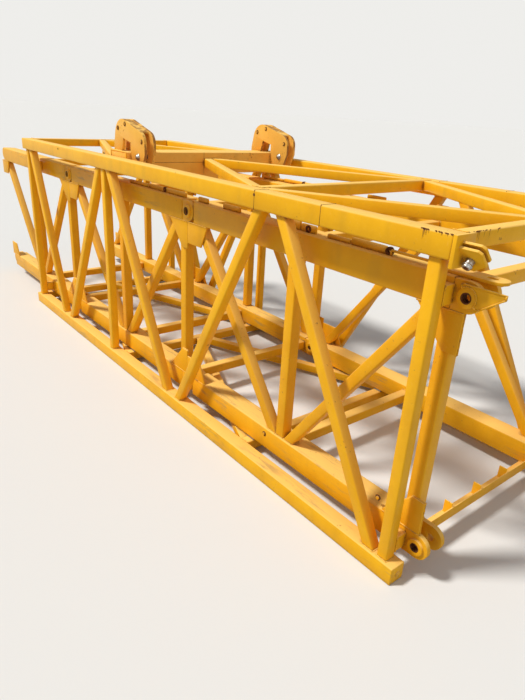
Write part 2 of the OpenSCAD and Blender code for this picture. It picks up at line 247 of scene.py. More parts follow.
def stretched(tree, place, scale):
    """Object coordinates scaled by axis, for marks that run one way."""
    made = add_node(tree, "ShaderNodeMapping", Scale=scale)
    tree.links.new(place, made.inputs["Vector"])
    return made.outputs["Vector"]


# Shared effects

def make_surface_marks():
    """Mottling, fine speckle, broad streaks on upright faces and how far a face looks up."""
    group, source, sink = new_group(
        "Surface marks",
        [("Scale", "NodeSocketFloat", 1.0)],
        [("Mottle", "NodeSocketFloat"), ("Speckle", "NodeSocketFloat"),
         ("Streaks", "NodeSocketFloat"), ("Upward", "NodeSocketFloat")])
    links = group.links
    place = add_node(group, "ShaderNodeTexCoord")
    scaled = add_node(group, "ShaderNodeVectorMath", operation="SCALE")
    links.new(place.outputs["Object"], scaled.inputs[0])
    links.new(source.outputs["Scale"], scaled.inputs["Scale"])
    spot = scaled.outputs[0]
    mottle = noise_value(group, spot, 3.1, 5.0, 0.65)
    links.new(ramp(group, mottle, 0.34, 0.68), sink.inputs["Mottle"])
    speckle = noise_value(group, spot, 46.0, 3.0, 0.7)
    links.new(ramp(group, speckle, 0.56, 0.74), sink.inputs["Speckle"])
    facing = add_node(group, "ShaderNodeNewGeometry")
    parts = add_node(group, "ShaderNodeSeparateXYZ")
    links.new(facing.outputs["Normal"], parts.inputs[0])
    upright = ramp(group, math_node(group, "ABSOLUTE", parts.outputs["Z"], 0), 0.6, 0.2)
    streaks = noise_value(group, stretched(group, spot, (6.5, 6.5, 0.8)), 1.0, 2.0, 0.45)
    runs = math_node(group, "MULTIPLY", ramp(group, streaks, 0.48, 0.8), upright)
    links.new(runs, sink.inputs["Streaks"])
    links.new(ramp(group, parts.outputs["Z"], 0.1, 0.95), sink.inputs["Upward"])
    return group


def make_scuff_marks():
    """Long rubbed marks and small knocks that run along a box section."""
    group, source, sink = new_group(
        "Scuff marks",
        [("Amount", "NodeSocketFloat", 0.3)],
        [("Mask", "NodeSocketFloat"), ("Colour", "NodeSocketColor")])
    place = add_node(group, "ShaderNodeTexCoord").outputs["Object"]
    long_rubs = noise_value(group, stretched(group, place, (2.2, 17.0, 17.0)), 1.0, 5.0, 0.7)
    patches = noise_value(group, place, 1.3, 2.0, 0.5)
    rubbed = math_node(group, "MULTIPLY", ramp(group, long_rubs, 0.5, 0.68), ramp(group, patches, 0.4, 0.62))
    group.links.new(math_node(group, "MULTIPLY", rubbed, source.outputs["Amount"]), sink.inputs["Mask"])
    group.links.new(mix_colours(group, patches, *SCUFF_COLOURS), sink.inputs["Colour"])
    return group


def make_rust_marks():
    """Rust along worn edges, in corners where bars meet, and in scattered spots."""
    group, source, sink = new_group(
        "Rust marks",
        [("Edge", "NodeSocketFloat", 0.0), ("Corner", "NodeSocketFloat", 0.0),
         ("Spread", "NodeSocketFloat", 0.0), ("Amount", "NodeSocketFloat", 0.5)],
        [("Mask", "NodeSocketFloat"), ("Colour", "NodeSocketColor")])
    links = group.links
    place = add_node(group, "ShaderNodeTexCoord").outputs["Object"]
    coarse = noise_value(group, place, 7.3, 6.0, 0.7)
    fine = noise_value(group, place, 38.0, 4.0, 0.65)
    edge_patch = ramp(group, math_node(group, "ADD", coarse, source.outputs["Spread"]), 0.52, 0.66)
    edge = math_node(group, "MULTIPLY", source.outputs["Edge"], edge_patch)
    corner_patch = ramp(group, fine, 0.42, 0.62)
    corner = math_node(group, "MULTIPLY", source.outputs["Corner"], corner_patch)
    spots = math_node(group, "MULTIPLY", ramp(group, fine, 0.62, 0.69), ramp(group, coarse, 0.5, 0.62))
    together = math_node(group, "ADD", math_node(group, "ADD", edge, corner), spots)
    links.new(math_node(group, "MULTIPLY", together, source.outputs["Amount"]), sink.inputs["Mask"])
    links.new(mix_colours(group, fine, *RUST_COLOURS), sink.inputs["Colour"])
    return group


def use_group(tree, group, **values):
    """A node group placed in a material with its own values and links."""
    made = tree.nodes.new("ShaderNodeGroup")
    made.node_tree = group
    for name, value in values.items():
        socket = made.inputs[name]
        if isinstance(value, (int, float)):
            socket.default_value = value
        else:
            tree.links.new(value, socket)
    return made


def new_material(name):
    """A material, its node tree and its main shader."""
    made = bpy.data.materials.new(name)
    made.use_nodes = True
    return made, made.node_tree, made.node_tree.nodes["Principled BSDF"]


def corner_mask(tree, reach):
    """How closely other bars crowd a point, from 0 in the open to 1 in a corner, for rust there and for
    painted shade.
    """
    near = add_node(tree, "ShaderNodeAmbientOcclusion", samples=6, Distance=reach)
    return ramp(tree, near.outputs["AO"], 0.72, 0.3)


def paint_material(name, paint, bleached_and_lit, rust, dirt, scuffs=0.0, spread=0.0):
    """Sun-bleached paint with chalky tops whose lightness is partly painted top light, faint dirt runs,
    rubbed marks, painted shade in corners and rust at edges and corners.
    """
    made, tree, shader = new_material(name)
    links = tree.links
    marks = use_group(tree, bpy.data.node_groups["Surface marks"], Scale=1.0)
    worn = add_node(tree, "ShaderNodeAttribute", attribute_name="edge", attribute_type="GEOMETRY")
    corner = corner_mask(tree, reach=0.05)
    rusty = use_group(tree, bpy.data.node_groups["Rust marks"],
                      Edge=worn.outputs["Fac"], Corner=corner, Spread=spread, Amount=rust)
    deep = tuple(c * k for c, k in zip(paint, (0.93, 0.88, 0.8)))
    body = mix_colours(tree, marks.outputs["Mottle"], (*deep, 1), (*paint, 1))
    # Painted top light: upward faces are mixed far towards the faded colour, for sun bleaching and for the
    # light that falls on tops
    top = math_node(tree, "MULTIPLY", marks.outputs["Upward"], 0.8)
    chalk_and_top_light = math_node(tree, "ADD", top, math_node(tree, "MULTIPLY", marks.outputs["Speckle"], 0.12))
    body = mix_colours(tree, chalk_and_top_light, body, (*bleached_and_lit, 1))
    grime = math_node(tree, "MULTIPLY", marks.outputs["Streaks"], dirt)
    body = mix_colours(tree, grime, body, RUN_COLOUR)
    if scuffs:
        rubbed = use_group(tree, bpy.data.node_groups["Scuff marks"], Amount=scuffs)
        body = mix_colours(tree, rubbed.outputs["Mask"], body, rubbed.outputs["Colour"])
    # Painted shade: the paint darkens where other bars crowd a point, in corners and where bars meet
    body = mix_colours(tree, math_node(tree, "MULTIPLY", corner, 0.35), body, CORNER_SHADE_COLOUR)
    body = mix_colours(tree, rusty.outputs["Mask"], body, rusty.outputs["Colour"])
    links.new(body, shader.inputs["Base Color"])
    gloss = add_node(tree, "ShaderNodeMapRange", To_Min=0.42, To_Max=0.8)
    links.new(math_node(tree, "ADD", chalk_and_top_light, rusty.outputs["Mask"]), gloss.inputs["Value"])
    links.new(gloss.outputs["Result"], shader.inputs["Roughness"])
    height = math_node(tree, "ADD", math_node(tree, "MULTIPLY", marks.outputs["Speckle"], 0.25),
                       rusty.outputs["Mask"])
    bump = add_node(tree, "ShaderNodeBump", Strength=0.35, Distance=0.002)
    links.new(height, bump.inputs["Height"])
    links.new(bump.outputs["Normal"], shader.inputs["Normal"])
    shader.inputs["Specular IOR Level"].default_value = 0.16
    return made


def steel_material(name, bright, rust, rough):
    """Turned or worn steel with fine lines and some rust."""
    made, tree, shader = new_material(name)
    links = tree.links
    marks = use_group(tree, bpy.data.node_groups["Surface marks"], Scale=2.6)
    worn = add_node(tree, "ShaderNodeAttribute", attribute_name="edge", attribute_type="GEOMETRY")
    rusty = use_group(tree, bpy.data.node_groups["Rust marks"],
                      Edge=worn.outputs["Fac"], Corner=marks.outputs["Mottle"], Amount=rust)
    dull = tuple(c * 0.62 for c in bright)
    body = mix_colours(tree, marks.outputs["Mottle"], (*bright, 1), (*dull, 1))
    body = mix_colours(tree, rusty.outputs["Mask"], body, rusty.outputs["Colour"])
    links.new(body, shader.inputs["Base Color"])
    metal = add_node(tree, "ShaderNodeMapRange", To_Min=0.9, To_Max=0.0)
    links.new(rusty.outputs["Mask"], metal.inputs["Value"])
    links.new(metal.outputs["Result"], shader.inputs["Metallic"])
    gloss = add_node(tree, "ShaderNodeMapRange", To_Min=rough, To_Max=0.85)
    links.new(rusty.outputs["Mask"], gloss.inputs["Value"])
    links.new(gloss.outputs["Result"], shader.inputs["Roughness"])
    return made


def rust_material(name, deep, light):
    """Thick dull rust, for seams, crusts, bolts and the rims of bores."""
    made, tree, shader = new_material(name)
    place = add_node(tree, "ShaderNodeTexCoord").outputs["Object"]
    grain = ramp(tree, noise_value(tree, place, 60.0, 4.0, 0.7), 0.35, 0.7)
    tree.links.new(mix_colours(tree, grain, (*deep, 1), (*light, 1)), shader.inputs["Base Color"])
    bump = add_node(tree, "ShaderNodeBump", Strength=0.5, Distance=0.002)
    tree.links.new(grain, bump.inputs["Height"])
    tree.links.new(bump.outputs["Normal"], shader.inputs["Normal"])
    shader.inputs["Roughness"].default_value = 0.9
    shader.inputs["Specular IOR Level"].default_value = 0.1
    return made


# Meshes

def clean_mesh(node):
    """A bmesh of a CAD node with its flat faces whole again."""
    work = bmesh.new()
    work.from_mesh(frame["nodes"][node].data)
    bmesh.ops.remove_doubles(work, verts=work.verts, dist=1e-5)
    bmesh.ops.dissolve_limit(work, angle_limit=math.radians(1.0), verts=work.verts, edges=work.edges)
    return work


def soften(work, radius, steps=2):
    """Rounds the sharp edges of a bmesh and marks the rounding as the place that wears."""
    sharp_angle = math.radians(35)
    sharp = [e for e in work.edges if e.is_manifold and e.calc_face_angle(0) > sharp_angle]
    kept = work.faces.layers.int.new("kept")
    for face in work.faces:
        face[kept] = 1
    bmesh.ops.bevel(work, geom=sharp, offset=radius, segments=steps, profile=0.5,
                    affect="EDGES", clamp_overlap=True)
    edge = work.loops.layers.float.new("edge")
    for face in work.faces:
        face.smooth = True
        for loop in face.loops:
            loop[edge] = 0.0 if face[kept] else 1.0


def wear_rims(mesh, thin_axis, amount):
    """Marks the cut edges of plates as worn, where the plates' thickness runs along one axis."""
    edge = mesh.attributes["edge"]
    for face in mesh.polygons:
        if abs(face.normal[thin_axis]) < 0.5:
            for k in face.loop_indices:
                edge.data[k].value = max(edge.data[k].value, amount)


def dress(node, material, radius):
    """Stands a rounded, painted copy in for a CAD node."""
    work = clean_mesh(node)
    soften(work, radius)
    piece = new_piece(node + "_dressed", work, material, body_of(node))
    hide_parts(node)
    return piece


def body_of(node):
    """The name of the body that a CAD node rides on."""
    bodies = frame["record"]["behaviour"]["bodies"]
    return next(body for body, nodes in bodies.items() if node in nodes)


def new_piece(name, work, material, body):
    """An object made of a finished bmesh, riding on a body."""
    mesh = bpy.data.meshes.new(name)
    work.to_mesh(mesh)
    work.free()
    piece = bpy.data.objects.new(name, mesh)
    bpy.context.scene.collection.objects.link(piece)
    mesh.materials.append(material)
    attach(piece, body)
    return piece


def add_rim(work, middle, out, radius, width):
    """A thin flat ring round the end of a bore."""
    along = Vector((1, 0, 0))
    outer = 2 * (radius + width)
    hole = (0, 2 * radius, 2 * radius)
    add_plate(work, middle, along, out.cross(along), (outer, outer), outer / 2, RIM_THICKNESS, hole)


def add_liner(work, middle, axis, radius, length):
    """A film of rust on the wall of a bore."""
    along = Vector((1, 0, 0))
    outer = 2 * (radius + LINER_SUNK)
    inner = outer - 2 * LINER_THICKNESS
    place = middle - axis * length / 2
    add_plate(work, place, along, axis.cross(along), (outer, outer), outer / 2, length, (0, inner, inner))


def mark_worn(work):
    """Marks every face as a place that wears, so that rust takes hold there."""
    edge = work.loops.layers.float.new("edge")
    for face in work.faces:
        for loop in face.loops:
            loop[edge] = 1.0


def add_tube(work, points, radii, sides, smooth=True):
    """A closed tube of rings along a line of points."""
    along = (points[-1] - points[0]).normalized()
    across = along.orthogonal().normalized()
    other = along.cross(across)
    rings = []
    for point, radius in zip(points, radii):
        rings.append([work.verts.new(point + radius * (math.cos(a) * across + math.sin(a) * other))
                      for a in (2 * math.pi * k / sides for k in range(sides))])
    for low, high in zip(rings, rings[1:]):
        for k in range(sides):
            face = work.faces.new((low[k], low[(k + 1) % sides], high[(k + 1) % sides], high[k]))
            face.smooth = smooth
    work.faces.new(list(reversed(rings[0])))
    work.faces.new(rings[-1])


def add_bead(work, start, end, radius, pitch):
    """A rippled weld bead along one edge."""
    count = max(2, round((end - start).length / pitch))
    points = [start.lerp(end, k / count) for k in range(count + 1)]
    radii = [radius * (BEAD_MEAN + BEAD_RIPPLE * noise.noise(p * RIPPLE_SCALE)) for p in points]
    add_tube(work, points, radii, sides=5)


def add_bolt(washers, heads, place, outward, radius, height):
    """A six-sided head on a round washer, standing on a face that looks outward."""
    washer = WASHER_HEIGHT * height
    sunk = place - FOOT_SUNK * outward
    add_tube(washers, [sunk, place + washer * outward], [WASHER_RADIUS * radius] * 2, sides=20)
    head = [sunk, place + SHOULDER_HEIGHT * height * outward, place + height * outward]
    add_tube(heads, head, [radius, radius, HEAD_TOP_RADIUS * radius], sides=6, smooth=False)


def rounded_outline(length, width, radius, steps=5):
    """Points round a rectangle with its middle at the origin and round corners."""
    radius = min(radius, length / 2, width / 2)
    points = []
    for turn, (along, across) in enumerate(((1, 1), (-1, 1), (-1, -1), (1, -1))):
        middle = Vector((along * (length / 2 - radius), across * (width / 2 - radius)))
        for step in range(steps + 1):
            angle = math.pi / 2 * (turn + step / steps)
            points.append(middle + radius * Vector((math.cos(angle), math.sin(angle))))
    return points


def add_plate(work, place, along, across, size, radius, thick, hole=None):
    """A plate with round corners, and with a round or oval hole given by its offset, length and width."""
    def ring(flat, up):
        return [work.verts.new(place + p.x * along + p.y * across + up) for p in flat]

    lift = along.cross(across) * thick
    outer = rounded_outline(*size, radius)
    low, high = ring(outer, Vector()), ring(outer, lift)
    rings = [(low, high)]
    if hole:
        offset, length, width = hole
        inner = [p + Vector((offset, 0)) for p in rounded_outline(length, width, width / 2)]
        inner_low, inner_high = ring(inner, Vector()), ring(inner, lift)
        rings += [(high, inner_high), (inner_high, inner_low), (inner_low, low)]
    else:
        work.faces.new(high)
        work.faces.new(list(reversed(low)))
    count = len(low)
    for first, second in rings:
        for k in range(count):
            work.faces.new((first[k], first[(k + 1) % count], second[(k + 1) % count], second[k]))


def pin_end(side):
    """The middle of a corner pin's outer end, the way it points and its radius."""
    points = [v.co for v in frame["nodes"]["corner_pins"].data.vertices if v.co.y * side > 0]
    low = Vector(map(min, *points))
    high = Vector(map(max, *points))
    out = Vector((0, side, -1)).normalized()
    middle = (low + high) / 2
    reach = max((p - middle).dot(out) for p in points)
    return middle + reach * out, out, (high.x - low.x) / 2


def add_line(work, start, end):
    """A thin seam that stands a little out of the faces beside it."""
    add_tube(work, [start, end], [SEAM_RADIUS] * 2, sides=5)


def add_specks(work, start, way, reach, count):
    """Small crusts of rust of uneven length along an upper edge, some with a run below them."""
    chance = random.Random(count)
    for _ in range(count):
        first = start + way * reach * chance.random() ** 1.5
        last = first + way * chance.uniform(*SPECK_LENGTH)
        thick = chance.uniform(*SPECK_RADIUS)
        add_tube(work, [first, first.lerp(last, 0.5), last], [0.5 * thick, thick, 0.6 * thick], sides=6)
        if chance.random() < RUN_CHANCE:
            run = Vector((0, 0, -chance.uniform(*RUN_LENGTH)))
            add_tube(work, [first, first + run], [0.5 * thick, 0.15 * thick], sides=6)


def seat_edges(node, others, largest):
    """The outlines of a node's small faces that lie against another node."""
    work = clean_mesh(node)
    seats = set()
    for face in work.faces:
        if face.calc_area() > largest:
            continue
        middle = face.calc_center_median()
        if others.ray_cast(middle - face.normal * SEAT_GAP, face.normal, 2 * SEAT_GAP)[0] is not None:
            seats.add(face)
    found = []
    for edge in work.edges:
        touching = [f for f in edge.link_faces if f in seats]
        if len(touching) == 1:
            found.append((edge.verts[0].co.copy(), edge.verts[1].co.copy()))
    work.free()
    return found


def meets_guide(guides, start, end, reach, travel):
    """Whether a bead on the mast would touch a shoe or a pad somewhere on the mast's way out."""
    points = [start.lerp(end, k / BEAD_TRIALS) for k in range(BEAD_TRIALS + 1)]
    steps = math.ceil(travel / TRAVEL_STEP)
    for step in range(steps + 1):
        moved = Vector((travel * step / steps, 0, 0))
        if any(guides.find_nearest(point + moved, reach)[0] is not None for point in points):
            return True
    return False


def tree_of(nodes):
    """A search tree of the faces of several CAD nodes."""
    points, faces = [], []
    for node in nodes:
        mesh = frame["nodes"][node].data
        start = len(points)
        points += [v.co.copy() for v in mesh.vertices]
        faces += [[start + v for v in polygon.vertices] for polygon in mesh.polygons]
    return BVHTree.FromPolygons(points, faces)


# Sizes and colours that a user may change

class CageLook(bpy.types.PropertyGroup):
    """Sizes, colours and wear of the pieces"""
    cage_paint: FloatVectorProperty(
        name="Cage paint", description="Colour of the cage's paint in the sun", subtype="COLOR",
        size=3, min=0, max=1, default=(0.98, 0.51, 0.012))
    # The faded colour is the chalky speckle and, on upward faces, sun bleaching together with painted top
    # light
    cage_bleached_and_lit: FloatVectorProperty(
        name="Faded cage paint", description="Colour of the chalky tops", subtype="COLOR",
        size=3, min=0, max=1, default=(1.0, 0.64, 0.18))
    mast_paint: FloatVectorProperty(
        name="Mast paint", description="Colour of the mast's paint", subtype="COLOR",
        size=3, min=0, max=1, default=(0.92, 0.46, 0.012))
    beam_paint: FloatVectorProperty(
        name="Beam paint", description="Colour of the climbing beam and its arms", subtype="COLOR",
        size=3, min=0, max=1, default=(0.97, 0.53, 0.09))
    steel: FloatVectorProperty(
        name="Bare steel", description="Colour of the turned pins", subtype="COLOR",
        size=3, min=0, max=1, default=(0.47, 0.46, 0.44))
    rust_deep: FloatVectorProperty(
        name="Deep rust", description="Colour of the rust in its hollows", subtype="COLOR",
        size=3, min=0, max=1, default=(0.06, 0.022, 0.01))
    rust_light: FloatVectorProperty(
        name="Light rust", description="Colour of the rust on its grains", subtype="COLOR",
        size=3, min=0, max=1, default=(0.22, 0.08, 0.03))
    section_round: FloatProperty(
        name="Section rounding", description="Corner radius of the box sections", subtype="DISTANCE",
        min=0.002, max=0.02, default=0.011)
    plate_round: FloatProperty(
        name="Plate rounding", description="Corner radius of plates and pins", subtype="DISTANCE",
        min=0.0005, max=0.004, default=0.0025)
    bead_radius: FloatProperty(
        name="Weld size", description="Radius of a weld bead", subtype="DISTANCE",
        min=0.003, max=0.012, default=0.007)
    rust: FloatProperty(
        name="Rust", description="How strong the rust shows", subtype="FACTOR",
        min=0, max=1, default=0.75)
    dirt: FloatProperty(
        name="Dirt", description="How strong the dirt runs show", subtype="FACTOR",
        min=0, max=1, default=0.13)
    scuffs: FloatProperty(
        name="Scuffs", description="How strong the rubbed marks show", subtype="FACTOR",
        min=0, max=1, default=0.5)
    bolt_radius: FloatProperty(
        name="Bolt size", description="Radius of a bolt head", subtype="DISTANCE",
        min=0.01, max=0.03, default=0.015)


class StageLook(bpy.types.PropertyGroup):
    """Camera and light of the stage"""
    camera_place: FloatVectorProperty(
        name="Camera place", description="Where the camera stands", subtype="TRANSLATION", size=3,
        default=(6.0352, -3.8192, 2.9558))
    camera_azimuth: FloatProperty(
        name="Camera azimuth", description="Direction of view round Z", subtype="ANGLE", default=2.44608)
    camera_tilt: FloatProperty(
        name="Camera tilt", description="Direction of view above the horizon", subtype="ANGLE",
        default=-0.40407)
    camera_roll: FloatProperty(
        name="Camera roll", description="Turn of the camera about its view", subtype="ANGLE",
        default=0.05967)
    focal_length: FloatProperty(
        name="Focal length", description="Focal length for a 36 mm long side",
        min=10, max=100, default=28.704)
    key_strength: FloatProperty(
        name="Key light", description="Strength of the high side light", min=0, max=6, default=3.0)
    end_strength: FloatProperty(
        name="End light", description="Strength of the wide light on the near end",
        min=0, max=2, default=0.5)
    fill_strength: FloatProperty(
        name="Fill light", description="Strength of the sky", min=0, max=2, default=0.28)


# Pieces, one operator for each group

def look():
    """The user's sizes and colours for the pieces."""
    return bpy.context.scene.crane_cage_look


class CRANE_OT_finishes(bpy.types.Operator):
    """Makes the shared effects and every paint and steel finish"""
    bl_idname = "crane.finishes"
    bl_label = "Finishes"

    def execute(self, context):
        make_surface_marks()
        make_rust_marks()
        make_scuff_marks()
        own = look()
        bleached_and_lit, rust, dirt = own.cage_bleached_and_lit, own.rust, own.dirt
        paint_material("Cage paint", own.cage_paint, bleached_and_lit, rust, dirt)
        paint_material("Lower chord paint", own.cage_paint, bleached_and_lit, rust, dirt,
                       scuffs=own.scuffs, spread=CHORD_SPREAD)
        beam_rust = min(1, rust * BEAM_RUST)
        paint_material("Beam paint", own.beam_paint, bleached_and_lit, beam_rust, dirt, spread=BEAM_SPREAD)
        paint_material("Mast paint", own.mast_paint, bleached_and_lit, rust, dirt)
        paint_material("Leg paint", own.mast_paint, bleached_and_lit, rust, dirt, scuffs=own.scuffs)
        steel_material("Bright steel", own.steel, rust=0.12, rough=0.34)
        rust_material("Rust", own.rust_deep, own.rust_light)
        stain_deep = tuple(STAIN_DEEP * c for c in own.rust_deep)
        stain_light = tuple(STAIN_LIGHT * c for c in own.rust_light)
        rust_material("Rust stains", stain_deep, stain_light)
        worn = tuple(WORN_SHADE * c for c in own.steel)
        steel_material("Worn steel", worn, rust=0.7, rough=0.5)
        return {"FINISHED"}


class CRANE_OT_cage(bpy.types.Operator):
    """Rounds and paints the chords, posts, diagonals, struts, braces, shoes and brackets"""
    bl_idname = "crane.cage"
    bl_label = "Cage"

    def execute(self, context):
        own = look()
        for node in CAGE_PAINT:
            grounded = node.startswith("chord") and node.endswith("bottom")
            paint = bpy.data.materials["Lower chord paint" if grounded else "Cage paint"]
            plates = node in ("corner_brackets", "guide_shoes")
            dress(node, paint, own.plate_round if plates else own.section_round)
        return {"FINISHED"}


class CRANE_OT_beam(bpy.types.Operator):
    """Rounds and paints the climbing beam and its two arms"""
    bl_idname = "crane.beam"
    bl_label = "Climbing beam"

    def execute(self, context):
        own = look()
        paint = bpy.data.materials["Beam paint"]
        for node in BEAM_PAINT:
            is_arm = "arm" in node
            piece = dress(node, paint, own.plate_round * (ARM_ROUND if is_arm else BEAM_ROUND))
            if is_arm:
                wear_rims(piece.data, thin_axis=1, amount=ARM_RIM_WEAR)
        return {"FINISHED"}


class CRANE_OT_mast(bpy.types.Operator):
    """Rounds and paints the three mast sections, the end bar, the flat ears and the horns"""
    bl_idname = "crane.mast"
    bl_label = "Mast sections"

    def execute(self, context):
        own = look()
        for node in MAST_PAINT:
            plates = node.endswith(("forks", "tongues", "gussets", "bar", "ears"))
            paint = bpy.data.materials["Leg paint" if node.endswith("legs") else "Mast paint"]
            dress(node, paint, own.plate_round if plates else own.section_round)
        return {"FINISHED"}


class CRANE_OT_steel(bpy.types.Operator):
    """Rounds and finishes the pins and the pads that the mast lies on"""
    bl_idname = "crane.steel"
    bl_label = "Pins and pads"

    def execute(self, context):
        own = look()
        for node, slot, finish in (("corner_pins", "bare_steel", "Bright steel"),
                                   ("joint_pins", "bare_steel", "Rust"),
                                   ("rest_pads", "worn_steel", "Worn steel")):
            dress(node, bpy.data.materials[finish], own.plate_round)
        return {"FINISHED"}


class CRANE_OT_pin_ends(bpy.types.Operator):
    """Puts a bright collar and a dark disc, painted shade of a hollow, on the outer end of each corner pin"""
    bl_idname = "crane.pin_ends"
    bl_label = "Corner pin ends"

    def execute(self, context):
        own = look()
        collars, hollow_shade_discs = bmesh.new(), bmesh.new()
        for side in (-1, 1):
            end, out, radius = pin_end(side)
            collar = [end - behind * out for behind in PIN_COLLAR]
            add_tube(collars, collar, [COLLAR_SHARE * radius] * 2, sides=32)
            # Painted shade: a flat rust-coloured disc a little proud of the pin's end stands for its dark
            # hollow
            hollow_shade_disc = [end - HOLLOW_SUNK * out, end + HOLLOW_PROUD * out]
            add_tube(hollow_shade_discs, hollow_shade_disc, [HOLLOW_SHARE * radius] * 2, sides=24)
        soften(collars, own.plate_round * PIN_ROUND)
        bright, dark = bpy.data.materials["Bright steel"], bpy.data.materials["Rust"]
        new_piece("corner_pin_collars", collars, bright, "cage")
        new_piece("corner_pin_hollow_shade_discs", hollow_shade_discs, dark, "cage")
        return {"FINISHED"}


class CRANE_OT_welds(bpy.types.Operator):
    """Lays a weld bead round the ends of bars and plates, but none where shoes and pads rub"""
    bl_idname = "crane.welds"
    bl_label = "Welds"

    def execute(self, context):
        own = look()
        bodies = frame["record"]["behaviour"]["bodies"]
        travel = frame["record"]["behaviour"]["joints"][0]["range_m"][1]
        guides = tree_of(["guide_shoes", "rest_pads"])
        reach = BEAD_CLEARANCE * own.bead_radius
        for body, slot, paint in (("cage", "cage_paint", "Cage paint"), ("mast", "mast_paint", "Mast paint")):
            carriers = [n for n in bodies[body] if not n.endswith(("pins", "pads"))]
            welded = [n for n in carriers if not n.endswith("legs") and "chord" not in n]
            work = bmesh.new()
            for node in welded:
                others = tree_of([n for n in carriers if n != node])
                for start, end in seat_edges(node, others, WELDED_FACE):
                    if body == "mast" and meets_guide(guides, start, end, reach, travel):
                        continue
                    add_bead(work, start, end, own.bead_radius, BEAD_PITCH)
            mark_worn(work)
            new_piece("weld_beads_" + body, work, bpy.data.materials[paint], body)
        return {"FINISHED"}


class CRANE_OT_seams(bpy.types.Operator):
    """Draws the butt seams, rust-coloured discs as painted shade of small holes, and rust specks on the upper
    chords and the seams on the beam
    """
    bl_idname = "crane.seams"
    bl_label = "Seams and specks"

    def execute(self, context):
        hole_shade_discs, lines = bmesh.new(), bmesh.new()
        for node, side in (("chord_near_top", -1), ("chord_far_top", 1)):
            low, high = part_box(node)
            outer, inner = (low.y, high.y) if side < 0 else (high.y, low.y)
            for behind in CHORD_SEAMS:
                x = high.x - behind
                add_line(lines, Vector((x, outer, low.z)), Vector((x, outer, high.z)))
                add_line(lines, Vector((x, outer, high.z)), Vector((x, inner, high.z)))
            for behind in CHORD_HOLES:
                # Painted shade: a flat disc a little proud of the face darkens the hole in place of an
                # opening
                spot = Vector((high.x - behind, outer, high.z - HOLE_DROP))
                out = Vector((0, side, 0))
                hole = [spot - HOLE_SUNK * out, spot + HOLE_PROUD * out]
                add_tube(hole_shade_discs, hole, [HOLE_RADIUS] * 2, sides=16)
            corner = Vector((high.x, outer, high.z))
            add_specks(lines, corner, Vector((-1, 0, 0)), *CHORD_SPECKS)
            strut_start = Vector((high.x, inner, high.z))
            add_specks(lines, strut_start, Vector((0, -side, 0)), *STRUT_SPECKS)
        low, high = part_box("climbing_beam")
        seam_z = high.z - BEAM_SEAM_DROP
        seam_start = Vector((high.x, BEAM_SEAM_SHARE * low.y, seam_z))
        add_line(lines, seam_start, Vector((high.x, BEAM_SEAM_END, seam_z)))
        for y in (BEAM_SEAM_END, BEAM_SEAM_SHARE * high.y):
            top = Vector((high.x, y, high.z))
            add_line(lines, top, top - Vector((0, 0, BEAM_SEAM_UPRIGHT)))
        new_piece("chord_hole_shade_discs", hole_shade_discs, bpy.data.materials["Rust"], "cage")
        new_piece("seams_and_specks", lines, bpy.data.materials["Rust stains"], "cage")
        return {"FINISHED"}


class CRANE_OT_arm_bolts(bpy.types.Operator):
    """Sets the bolts on the plates of the two arms and the bright pin in each arm's toe"""
    bl_idname = "crane.arm_bolts"
    bl_label = "Arm bolts and pins"

    def execute(self, context):
        own = look()
        beam_low, beam_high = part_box("climbing_beam")
        middle = (beam_low.x + beam_high.x) / 2
        washers, heads, pins = bmesh.new(), bmesh.new(), bmesh.new()
        for node in ("climbing_arm_near", "climbing_arm_far"):
            low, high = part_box(node)
            for side, y in ((-1, low.y), (1, high.y)):
                outward = Vector((0, side, 0))
                for ahead, over in ARM_BOLTS:
                    place = Vector((middle + ahead, y, beam_high.z + over))
                    add_bolt(washers, heads, place, outward, own.bolt_radius, BOLT_HEIGHT)
            ahead, over = ARM_PIN
            start = Vector((middle + ahead, low.y - ARM_PIN_REACH, beam_high.z + over))
            end = Vector((start.x, high.y + ARM_PIN_REACH, start.z))
            add_tube(pins, [start, end], [ARM_PIN_RADIUS] * 2, sides=24)
            for side, y in ((-1, low.y), (1, high.y)):
                place, outward = Vector((start.x, y, start.z)), Vector((0, side, 0))
                collar = [place - FOOT_SUNK * outward, place + ARM_COLLAR_HEIGHT * outward]
                add_tube(pins, collar, [ARM_COLLAR_RADIUS] * 2, sides=28)
        mark_worn(washers)
        mark_worn(heads)
        new_piece("arm_bolt_washers", washers, bpy.data.materials["Rust"], "cage")
        new_piece("arm_bolt_heads", heads, bpy.data.materials["Beam paint"], "cage")
        soften(pins, own.plate_round * PIN_ROUND)
        new_piece("arm_toe_pins", pins, bpy.data.materials["Bright steel"], "cage")
        return {"FINISHED"}


